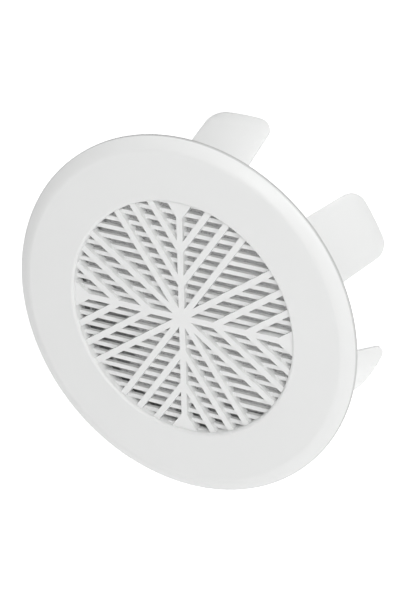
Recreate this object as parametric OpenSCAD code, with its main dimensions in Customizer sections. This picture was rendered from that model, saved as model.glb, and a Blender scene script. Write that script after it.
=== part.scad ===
// Round wall grille that holds itself in a duct with six spring tabs.
// The origin is the centre of the wall plane. The face looks along -Y and +Z is up.

/* [Bezel] */
// Outside diameter of the bezel
bezel_d = 170; // [168:1:180]
// Diameter of the opening in the bezel
opening_d = 111; // [110:0.5:112]
// Height of the flat face in front of the wall
face_h = 4.2; // [4:0.1:5]
// Width of the sloping shoulder around the face
shoulder_w = 6.2; // [5.6:0.1:6.4]
// Wall thickness of the bezel
skin = 1.7; // [1.5:0.1:1.8]

/* [Grille] */
// Width of a star rib
rib_w = 2.9; // [1.6:0.1:4]
// Depth of a star rib, front to back
rib_depth = 4; // [3:0.1:4]
// Depth of the grille's round wall, front to back
wall_depth = 6.5; // [6:0.1:6.8]
// Angle between an upright or level spoke and its slanting neighbours
spoke_angle = 35; // [25:1:42]
// Distance between the points where side branches leave a spoke
branch_step = 16.25; // [12:0.25:20]
// Distance between louvre bars
louvre_pitch = 4.56; // [4:0.02:6]
// Height of a louvre bar
louvre_h = 1.95; // [1.4:0.05:3]
// Depth of a louvre bar, front to back
louvre_t = 2; // [0.8:0.1:2]
// How far the louvre bars sit behind the front of the ribs
louvre_recess = 2; // [0.5:0.1:2]
// How far the bar nearest the centre sits below it
louvre_drop = 0.8; // [0:0.05:2]

/* [Duct side] */
// Outside diameter of the collar that enters the duct
collar_d = 122; // [121.5:0.1:122.4]
// How far the collar reaches behind the wall plane
collar_len = 12; // [12:0.5:14]

/* [Spring tabs] */
// Distance behind the wall plane of the tab ends
tab_reach = 56.4; // [40:0.2:70]
// Diameter across the tab ends when they are relaxed
tabs_across = 150; // [140:1:160]
// Width of a tab beside the collar
tab_root_w = 33.4; // [24:0.2:36]
// Width of a tab at its free end
tab_tip_w = 31.9; // [24:0.2:36]
// Radius of the corners at the free end
tab_corner = 7.5; // [4:0.5:12]
// Thickness of a tab
tab_t = 1.1; // [0.8:0.1:1.2]

/* [Hidden] */
$fn = 120;
eps = 0.01;
bezel_r = bezel_d / 2;
opening_r = opening_d / 2;
collar_r = collar_d / 2;
inner_face = face_h - skin;

// Shoulder: an arc that leaves the face at 15 degrees and meets the rim
shoulder_r = 18.4;
shoulder_start = 15;
arc_x = bezel_r - shoulder_w - shoulder_r * sin(shoulder_start);
arc_y = face_h - shoulder_r * cos(shoulder_start);
lip_r = 1.5;

// Stack behind the bezel, measured forwards from the wall plane
plate_back = inner_face - 1.5;
plate_r = bezel_r - 7;
grille_back = inner_face - wall_depth;
mesh_t = 0.4;
mesh_back = grille_back - mesh_t;
ring_t = 1.5;
ring_back = mesh_back - ring_t;
shelf_t = 1.6;
shelf_back = ring_back - shelf_t;
collar_wall = 1.4;
seat_r = collar_r - collar_wall;
grille_r = seat_r - 0.2;

// Snap wall that holds the carrier plate in the bezel
snap_gap = 0.15;
snap_wall = 1.4;
snap_lugs = 6;
lug_w = 12;

// Hinge beads of the tabs
tab_count = 6;
hinge_r = collar_r - 2.7;
hinge_back = 10;
bead_r = 1.6;
bead_len = 15;
socket_gap = 0.08;
socket_wall = 0.65;
block_step = 0.4;
block_depth = 4.6;
neck_w = 12;
neck_len = 5;
mouth_in = -36;
mouth_out = 45;
tab_angle = atan((tabs_across / 2 - hinge_r) / (tab_reach - hinge_back));
tab_len = (tab_reach - hinge_back) / cos(tab_angle);

// Turns face coordinates (x right, y up, z towards the room) into the part's frame
module on_wall() {
    rotate([90, 0, 0]) children();
}

// A ring between two radii and two heights above the wall plane
module ring(r_in, r_out, z_low, z_high) {
    rotate_extrude() translate([r_in, z_low]) square([r_out - r_in, z_high - z_low]);
}

// Half section of the bezel's skin, drop below its outer surface
module bezel_section(drop, reach) {
    intersection() {
        translate([0, -1]) square([reach, face_h - drop + 1]);
        union() {
            translate([0, -1]) square([bezel_r - shoulder_w - drop * tan(shoulder_start), face_h + 1]);
            translate([arc_x, arc_y]) circle(shoulder_r - drop);
        }
    }
}

// Rounds the front edge of the opening
module lip_cutter() {
    translate([opening_r - eps, face_h - lip_r + eps]) difference() {
        square(lip_r);
        translate([lip_r, 0]) circle(lip_r);
    }
}

module front_bezel() {
    snap_r = plate_r + snap_gap;
    color("whitesmoke") on_wall() {
        rotate_extrude() difference() {
            bezel_section(0, bezel_r);
            bezel_section(skin, bezel_r - skin);
            translate([0, -2]) square([opening_r, face_h + 3]);
            translate([0, -2]) square([bezel_r + 1, 2]);
            lip_cutter();
        }
        ring(snap_r, snap_r + snap_wall, 0.2, inner_face + eps);
        intersection() {
            ring(snap_r - 0.5, snap_r + eps, 0.4, plate_back - 0.05);
            for (i = [0:snap_lugs - 1]) rotate(i * 360 / snap_lugs + 30)
                translate([snap_r - 3, -lug_w / 2, 0]) cube([6, lug_w, face_h]);
        }
    }
}

// One rib of the star, from a point on a spoke outwards
module rib(start, direction) {
    translate(start) rotate(direction) translate([0, -rib_w / 2]) square([2 * opening_r, rib_w]);
}

// Four spokes with side branches; the outermost pair of branches is joined by a solid web
module star() {
    web = [3 * branch_step, opening_r * tan(spoke_angle)];
    for (axis = [0:90:270]) rotate(axis) {
        rib([0, 0], 0);
        for (side = [-1, 1], step = [0:3]) rib([step * branch_step, 0], side * spoke_angle);
        polygon([[web.x, 0], [web.x + opening_r, web.y], [web.x + opening_r, -web.y]]);
    }
}

module louvres() {
    bars = ceil(opening_r / louvre_pitch);
    for (i = [-bars:bars])
        translate([-opening_r - 2, i * louvre_pitch - louvre_drop - louvre_h / 2])
            square([2 * opening_r + 4, louvre_h]);
}

module star_grille() {
    louvre_front = inner_face - louvre_recess;
    color("white") on_wall() {
        ring(opening_r, grille_r, grille_back, inner_face);
        translate([0, 0, inner_face - rib_depth]) linear_extrude(rib_depth) intersection() {
            star();
            circle(opening_r + 1);
        }
        translate([0, 0, louvre_front - louvre_t]) linear_extrude(louvre_t) intersection() {
            louvres();
            circle(opening_r + 1);
        }
    }
}

module insect_mesh() {
    color("dimgray") on_wall() translate([0, 0, mesh_back]) cylinder(r = grille_r - 0.2, h = mesh_t);
}

module mesh_ring() {
    color("gainsboro") on_wall() ring(opening_r, grille_r - 0.1, ring_back, mesh_back);
}

// The solid block around one hinge bead, before the socket is cut
module socket_block() {
    inner = hinge_r - bead_r - socket_gap - socket_wall;
    intersection() {
        translate([inner, -bead_len / 2 - 1.5, block_step - collar_len])
            cube([collar_r - inner, bead_len + 3, block_depth]);
        cylinder(r = collar_r - collar_wall / 2, h = 4 * collar_len, center = true);
    }
}

// The bore for the bead, with a wedge-shaped mouth that the tab swings in
module socket_cutter() {
    length = bead_len + 2 * socket_gap;
    reach = collar_len - hinge_back + 1;
    translate([hinge_r, length / 2, -hinge_back]) rotate([90, 0, 0]) {
        cylinder(r = bead_r + socket_gap, h = length);
        linear_extrude(length)
            polygon([[0, 0], [reach * tan(mouth_in), -reach], [reach * tan(mouth_out), -reach]]);
    }
}

module tab_carrier() {
    color("lightgray") on_wall() difference() {
        union() {
            rotate_extrude() {
                translate([seat_r, plate_back]) square([plate_r - seat_r, inner_face - plate_back]);
                translate([seat_r, -collar_len]) square([collar_wall, collar_len + inner_face]);
                translate([opening_r, shelf_back]) square([collar_r - opening_r, shelf_t]);
            }
            for (i = [0:tab_count - 1]) rotate(90 - i * 360 / tab_count) socket_block();
        }
        for (i = [0:tab_count - 1]) rotate(90 - i * 360 / tab_count) socket_cutter();
    }
}

module wall_gasket() {
    color("darkgray") on_wall() ring(collar_r + 1, plate_r - 1, 0, plate_back);
}

// Flat outline of a tab: x across it, y along it from the hinge to the free end
module tab_outline() {
    shoulder = 4;
    neck_end = neck_len + shoulder;
    difference() {
        union() {
            translate([-neck_w / 2, 0]) square([neck_w, neck_end]);
            translate([-tab_root_w / 2 + shoulder, neck_len]) square([tab_root_w - 2 * shoulder, shoulder]);
            for (side = [-1, 1])
                translate([side * (tab_root_w / 2 - shoulder), neck_end]) circle(shoulder);
            polygon([[-tab_root_w / 2, neck_end], [tab_root_w / 2, neck_end],
                     [tab_tip_w / 2, tab_len - tab_corner], [-tab_tip_w / 2, tab_len - tab_corner]]);
            translate([-tab_tip_w / 2 + tab_corner, neck_end])
                square([tab_tip_w - 2 * tab_corner, tab_len - neck_end]);
            for (side = [-1, 1])
                translate([side * (tab_tip_w / 2 - tab_corner), tab_len - tab_corner]) circle(tab_corner);
        }
        translate([-tab_root_w, tab_len]) square([2 * tab_root_w, 10]);
    }
}

// A strip of a cone, cut to the tab's outline, with a bead across its root
module spring_tab(index) {
    color("snow") on_wall() rotate(90 - index * 360 / tab_count) {
        intersection() {
            rotate([0, 0, -20]) rotate_extrude(angle = 40)
                translate([hinge_r, -hinge_back]) rotate(tab_angle)
                    translate([-tab_t / 2, -tab_len - 1]) square([tab_t, tab_len + 1]);
            translate([hinge_r, 0, -hinge_back]) rotate([0, -tab_angle, 0]) rotate([-90, 0, 90])
                translate([0, 0, -8]) linear_extrude(16) tab_outline();
        }
        translate([hinge_r, bead_len / 2, -hinge_back]) rotate([90, 0, 0])
            cylinder(r = bead_r, h = bead_len);
    }
}

front_bezel();
star_grille();
insect_mesh();
mesh_ring();
tab_carrier();
wall_gasket();
for (i = [0:tab_count - 1])
    spring_tab(i);
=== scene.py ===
"""Looks of the round wall grille with spring tabs: mesh screen, plastics, camera and light."""

import math

import bpy
from mathutils import Matrix, Vector


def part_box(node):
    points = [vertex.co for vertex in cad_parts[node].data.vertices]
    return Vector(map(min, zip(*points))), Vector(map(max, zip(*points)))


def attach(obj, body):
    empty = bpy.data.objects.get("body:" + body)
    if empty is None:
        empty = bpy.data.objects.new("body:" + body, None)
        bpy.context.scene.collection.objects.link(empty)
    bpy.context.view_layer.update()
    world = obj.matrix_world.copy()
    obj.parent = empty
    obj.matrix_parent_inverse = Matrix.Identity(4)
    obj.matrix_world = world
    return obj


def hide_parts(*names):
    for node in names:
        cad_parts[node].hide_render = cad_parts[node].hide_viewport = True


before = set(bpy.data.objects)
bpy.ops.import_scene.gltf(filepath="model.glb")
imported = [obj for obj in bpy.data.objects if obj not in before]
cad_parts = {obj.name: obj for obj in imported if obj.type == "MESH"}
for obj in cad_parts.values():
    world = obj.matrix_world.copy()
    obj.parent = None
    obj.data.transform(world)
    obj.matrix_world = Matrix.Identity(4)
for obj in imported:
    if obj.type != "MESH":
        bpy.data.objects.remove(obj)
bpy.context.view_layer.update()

MM = 0.001
HOUSING = "housing"
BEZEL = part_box("front_bezel")
BEZEL_RADIUS = BEZEL[1].x

# Camera: the direction it looks from, in degrees, and its distance and aim in bezel radii
CAMERA_AZIMUTH = 30.2
CAMERA_ELEVATION = 25.92
CAMERA_ROLL = -1.33
CAMERA_DISTANCE = 12.66
CAMERA_AIM = (0.0565, 0.0717, 0.0704)
LENS = 219.1
SENSOR = 36
CLIP_START = 0.05
CLIP_END = 50

# Lamps: place and size in metres, power in watts. The glint shows only in the gloss of the plastics
LAMPS = {
    "key": ((0.62, -0.66, 0.62), 0.5, 4.8),
    "top": ((0.25, 0.25, 1.5), 0.9, 9),
    "glint": ((-0.01, -1.245, 0.43), 0.15, 3.3),
}
GLOSS_ONLY = ["glint"]

# Studio: how much brighter it gets towards the right and the front
WORLD_RIGHT = 0.035
WORLD_FRONT = 0.317

# Floor: half its size in metres, its distance below the bezel in bezel radii, and its glow, which
# rises from near to far over a short run behind the wall plane
FLOOR_REACH = 20
FLOOR_DROP = 3
FLOOR_NEAR = 0.3
FLOOR_FAR = 0.8
GLOW_RUN = 0.2

# Plastics: colour clouds, gloss patches and spark-eroded grain, with scales in cells per metre
CLOUD_SCALE = 28
CLOUD_SHADE = 0.972
PATCH_SCALE = 90
PATCH_SMOOTHER = 0.05
PATCH_ROUGHER = 0.07
GRAIN_SCALE = 2600
GRAIN_STRENGTH = 0.12
GRAIN_DEPTH = 0.06 * MM
PLASTIC_IOR = 1.47
SCATTER_DEPTH = 1.5 * MM

# Foam of the gasket, with its scale in cells per metre
CELL_SCALE = 1400
CELL_STRENGTH = 0.5
CELL_DEPTH = 0.2 * MM
CELL_SHADE = 0.7

# Roughness of foam and floor
MATT = 0.9

# Sockets of a Mix node in its colour mode, which share their names with its other modes
MIX_FIRST = 6
MIX_SECOND = 7
MIX_RESULT = 2

# Bezel: the outermost band that counts as its rim, and the colour factor of the painted shade on the rim's
# side
RIM_BAND = 0.45 * MM
RIM_PAINTED_SHADE = 0.7

# Modifiers: what counts as one vertex, one sharp edge and one ring of the crease
WELD_DISTANCE = 0.002 * MM
SHARP_ANGLE = 40
CREASE_TOLERANCE = 0.05 * MM

# Net of the mesh screen
STRAND_PITCH = 0.25 * MM
STRAND_WIDTH = 0.09 * MM
STRAND_DEPTH = 0.1 * MM


# Helpers for nodes and objects

def new_material(name):
    """A material and its shader."""
    material = bpy.data.materials.new(name)
    material.use_nodes = True
    return material, material.node_tree.nodes["Principled BSDF"]


def add(owner, kind, **inputs):
    """Adds a node to a material or world and sets its inputs by name."""
    node = owner.node_tree.nodes.new(kind)
    for name, value in inputs.items():
        node.inputs[name.replace("_", " ")].default_value = value
    return node


def link(owner, source, target):
    """Joins an output to an input."""
    owner.node_tree.links.new(source, target)


def ramp(owner, source, low, high, start=0, end=1):
    """Maps source from start..end onto low..high."""
    made = add(owner, "ShaderNodeMapRange", From_Min=start, From_Max=end, To_Min=low, To_Max=high)
    link(owner, source, made.inputs["Value"])
    return made


def vector_math(owner, operation, source, constant=(0, 0, 0)):
    """A vector operation on a source and, if it takes two operands, a constant."""
    made = add(owner, "ShaderNodeVectorMath")
    made.operation = operation
    made.inputs[1].default_value = constant
    link(owner, source, made.inputs[0])
    return made


def texture(material, kind, **inputs):
    """An object-space texture, its scale in cells per metre."""
    place = add(material, "ShaderNodeTexCoord")
    made = add(material, kind, **inputs)
    link(material, place.outputs["Object"], made.inputs["Vector"])
    return made


def tint(material, shader, factor, colour, shade):
    """Colours the shader from a darkened colour up to the colour itself."""
    mix = add(material, "ShaderNodeMix")
    mix.data_type = "RGBA"
    mix.inputs[MIX_FIRST].default_value = (*[c * shade for c in colour], 1)
    mix.inputs[MIX_SECOND].default_value = (*colour, 1)
    link(material, factor, mix.inputs[0])
    link(material, mix.outputs[MIX_RESULT], shader.inputs["Base Color"])


def emboss(material, shader, height, strength, depth):
    """Bumps the shader by a height."""
    bump = add(material, "ShaderNodeBump", Strength=strength, Distance=depth)
    link(material, height, bump.inputs["Height"])
    link(material, bump.outputs["Normal"], shader.inputs["Normal"])


def new_object(name, data):
    """An object in the scene."""
    made = bpy.data.objects.new(name, data)
    bpy.context.scene.collection.objects.link(made)
    return made


# Materials

def moulded(name, colour, roughness, translucency=0.0):
    """Moulded plastic: faint flow variation in colour, a fine spark-eroded texture and a satin gloss."""
    material, shader = new_material(name)
    cloud = texture(material, "ShaderNodeTexNoise", Scale=CLOUD_SCALE, Detail=3)
    tint(material, shader, cloud.outputs["Fac"], colour, CLOUD_SHADE)
    patches = texture(material, "ShaderNodeTexNoise", Scale=PATCH_SCALE, Detail=3)
    gloss = ramp(material, patches.outputs["Fac"], roughness - PATCH_SMOOTHER, roughness + PATCH_ROUGHER)
    link(material, gloss.outputs[0], shader.inputs["Roughness"])
    grain = texture(material, "ShaderNodeTexNoise", Scale=GRAIN_SCALE, Detail=2)
    emboss(material, shader, grain.outputs["Fac"], GRAIN_STRENGTH, GRAIN_DEPTH)
    shader.inputs["IOR"].default_value = PLASTIC_IOR
    if translucency:
        shader.inputs["Subsurface Weight"].default_value = translucency
        shader.inputs["Subsurface Radius"].default_value = (1, 1, 1)
        shader.inputs["Subsurface Scale"].default_value = SCATTER_DEPTH
    return material


def paint_rim_shade(material):
    """Paints shade on the bezel's thin outer side, beyond the shoulder, by toning its colour down."""
    shader = material.node_tree.nodes["Principled BSDF"]
    colour = shader.inputs["Base Color"].links[0].from_socket
    place = add(material, "ShaderNodeTexCoord")
    flat = vector_math(material, "MULTIPLY", place.outputs["Object"], (1, 0, 1))
    radius = vector_math(material, "LENGTH", flat.outputs["Vector"])
    # painted shade: the colour falls off across the outermost band of the rim
    edge = ramp(material, radius.outputs["Value"], 1, RIM_PAINTED_SHADE,
                BEZEL_RADIUS - RIM_BAND, BEZEL_RADIUS - RIM_BAND / 3)
    shaded = vector_math(material, "SCALE", colour)
    link(material, edge.outputs[0], shaded.inputs["Scale"])
    link(material, shaded.outputs["Vector"], shader.inputs["Base Color"])


def foam(name, colour):
    """Closed-cell foam: small cells in colour and bump."""
    material, shader = new_material(name)
    cells = texture(material, "ShaderNodeTexVoronoi", Scale=CELL_SCALE)
    tint(material, shader, cells.outputs["Distance"], colour, CELL_SHADE)
    emboss(material, shader, cells.outputs["Distance"], CELL_STRENGTH, CELL_DEPTH)
    shader.inputs["Roughness"].default_value = MATT
    return material


# Edges of the CAD pieces

def soften(piece, width):
    """Rounds the sharp edges of a CAD piece by that width."""
    weld = piece.modifiers.new("weld", "WELD")
    weld.merge_threshold = WELD_DISTANCE
    bevel = piece.modifiers.new("soft_edges", "BEVEL")
    bevel.width = width
    bevel.segments = 2
    bevel.limit_method = "ANGLE"
    bevel.angle_limit = math.radians(SHARP_ANGLE)


def soften_crease(piece, width):
    """Rounds only the bezel's ring-shaped crease between its flat face and its shoulder."""
    vertices = piece.data.vertices
    front = min(vertex.co.y for vertex in vertices)
    radius = {v.index: math.hypot(v.co.x, v.co.z) for v in vertices if v.co.y - front < CREASE_TOLERANCE}
    reach = max(radius.values())
    group = piece.vertex_groups.new(name="crease")
    group.add([index for index in radius if reach - radius[index] < CREASE_TOLERANCE], 1, "REPLACE")
    bevel = piece.modifiers.new("soft_crease", "BEVEL")
    bevel.width = width
    bevel.segments = 5
    bevel.limit_method = "VGROUP"
    bevel.vertex_group = group.name


# Mesh screen

def strand(offset, half, near, far, along_x):
    """Corners of one strand: a straight bar across the disc, with its ends inside the holding ring."""
    low, high = offset - STRAND_WIDTH / 2, offset + STRAND_WIDTH / 2
    flat = [(-half, low), (half, low), (half, high), (-half, high)]
    if not along_x:
        flat = [(x, z) for z, x in reversed(flat)]
    return [(x, y, z) for y in (near, far) for x, z in flat]


def make_mesh_screen():
    """The insect mesh: a fine plastic net of level strands laid over upright ones."""
    low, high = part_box("insect_mesh")
    middle = (low.y + high.y) / 2
    rows = int(high.x / STRAND_PITCH)
    sides = [(0, 1, 2, 3), (7, 6, 5, 4), (0, 4, 5, 1), (1, 5, 6, 2), (2, 6, 7, 3), (3, 7, 4, 0)]
    verts, faces = [], []
    for along_x, near, far in ((True, middle - STRAND_DEPTH, middle), (False, middle, middle + STRAND_DEPTH)):
        for row in range(-rows, rows + 1):
            offset = row * STRAND_PITCH
            reach = high.x ** 2 - (abs(offset) + STRAND_WIDTH) ** 2
            if reach < STRAND_PITCH ** 2:
                continue
            base = len(verts)
            verts += strand(offset, math.sqrt(reach), near, far, along_x)
            faces += [tuple(base + k for k in side) for side in sides]
    mesh = bpy.data.meshes.new("mesh_screen")
    mesh.from_pydata(verts, [], faces)
    piece = new_object("mesh_screen", mesh)
    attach(piece, HOUSING)
    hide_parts("insect_mesh")
    return piece


# Pieces and their materials

def dress(node, material):
    """Gives a CAD node its material."""
    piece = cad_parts[node]
    piece.data.materials.clear()
    piece.data.materials.append(material)
    return piece


def dress_front():
    """The bezel and the grille."""
    material = moulded("bezel_white", colour=(0.80, 0.805, 0.80), roughness=0.38)
    # painted shade on the bezel's rim side, darkened in its colour
    paint_rim_shade(material)
    bezel = dress("front_bezel", material)
    soften(bezel, 0.25 * MM)
    soften_crease(bezel, 0.8 * MM)
    grille = moulded("grille_white", colour=(0.82, 0.825, 0.82), roughness=0.42)
    soften(dress("star_grille", grille), 0.5 * MM)


def dress_duct_side():
    """The carrier, its ring, the gasket and the mesh screen."""
    carrier = moulded("carrier_white", colour=(0.74, 0.745, 0.745), roughness=0.5)
    soften(dress("tab_carrier", carrier), 0.2 * MM)
    dress("mesh_ring", carrier)
    dress("wall_gasket", foam("gasket_foam", colour=(0.45, 0.46, 0.47)))
    net = moulded("net_grey", colour=(0.05, 0.05, 0.052), roughness=0.5)
    make_mesh_screen().data.materials.append(net)


def dress_tabs():
    """The spring tabs, thin enough to let some light through."""
    material = moulded("tab_white", colour=(0.79, 0.795, 0.79), roughness=0.4, translucency=0.6)
    for node in sorted(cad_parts):
        if node.startswith("spring_tab"):
            soften(dress(node, material), 0.3 * MM)


# Stage, light and camera

def add_floor():
    """A pale floor well below the part, glowing more behind the part than in front of it."""
    drop = BEZEL[0].z - FLOOR_DROP * BEZEL_RADIUS
    reach = FLOOR_REACH
    mesh = bpy.data.meshes.new("floor")
    corners = [(-reach, -reach), (reach, -reach), (reach, reach), (-reach, reach)]
    mesh.from_pydata([(x, y, drop) for x, y in corners], [], [(0, 1, 2, 3)])
    floor = new_object("floor", mesh)
    material, shader = new_material("floor_paint")
    shader.inputs["Base Color"].default_value = (0.95, 0.95, 0.95, 1)
    shader.inputs["Roughness"].default_value = MATT
    shader.inputs["Emission Color"].default_value = (1, 1, 1, 1)
    place = add(material, "ShaderNodeTexCoord")
    axes = add(material, "ShaderNodeSeparateXYZ")
    link(material, place.outputs["Object"], axes.inputs[0])
    glow = ramp(material, axes.outputs["Y"], FLOOR_NEAR, FLOOR_FAR, 0, GLOW_RUN)
    link(material, glow.outputs[0], shader.inputs["Emission Strength"])
    mesh.materials.append(material)


def add_world():
    """A pale studio, brighter towards the right and the front."""
    world = bpy.data.worlds.new("studio")
    bpy.context.scene.world = world
    world.use_nodes = True
    background = world.node_tree.nodes["Background"]
    direction = add(world, "ShaderNodeTexCoord")
    tilt = vector_math(world, "DOT_PRODUCT", direction.outputs["Generated"], (WORLD_RIGHT, -WORLD_FRONT, 0))
    level = add(world, "ShaderNodeMath")
    level.inputs[1].default_value = WORLD_RIGHT + WORLD_FRONT
    link(world, tilt.outputs["Value"], level.inputs[0])
    background.inputs["Color"].default_value = (1, 1, 1, 1)
    link(world, level.outputs[0], background.inputs["Strength"])


def add_lamps():
    """Square soft lights that face the part."""
    for name, (place, size, power) in LAMPS.items():
        light = bpy.data.lights.new(name, "AREA")
        light.size = size
        light.energy = power
        lamp = new_object(name, light)
        lamp.location = place
        lamp.visible_diffuse = name not in GLOSS_ONLY
        lamp.rotation_euler = Vector(place).to_track_quat("Z", "Y").to_euler()


def add_camera():
    """The camera, from its azimuth, elevation, roll and distance about a point near the bezel's centre."""
    azimuth = math.radians(CAMERA_AZIMUTH)
    elevation = math.radians(CAMERA_ELEVATION)
    back = Vector((math.sin(azimuth) * math.cos(elevation),
                   -math.cos(azimuth) * math.cos(elevation),
                   math.sin(elevation)))
    right = Vector((math.cos(azimuth), math.sin(azimuth), 0))
    up = back.cross(right)
    turn = Matrix((right, up, back)).transposed() @ Matrix.Rotation(math.radians(CAMERA_ROLL), 3, "Z")
    place = (Vector(CAMERA_AIM) + back * CAMERA_DISTANCE) * BEZEL_RADIUS
    data = bpy.data.cameras.new("camera")
    data.lens = LENS
    data.sensor_width = SENSOR
    data.sensor_fit = "HORIZONTAL"
    data.clip_start = CLIP_START
    data.clip_end = CLIP_END
    camera = new_object("camera", data)
    camera.matrix_world = Matrix.Translation(place) @ turn.to_4x4()
    bpy.context.scene.camera = camera


dress_front()
dress_duct_side()
dress_tabs()
add_floor()
add_world()
add_lamps()
add_camera()
bpy.context.scene.view_settings.view_transform = "Standard"
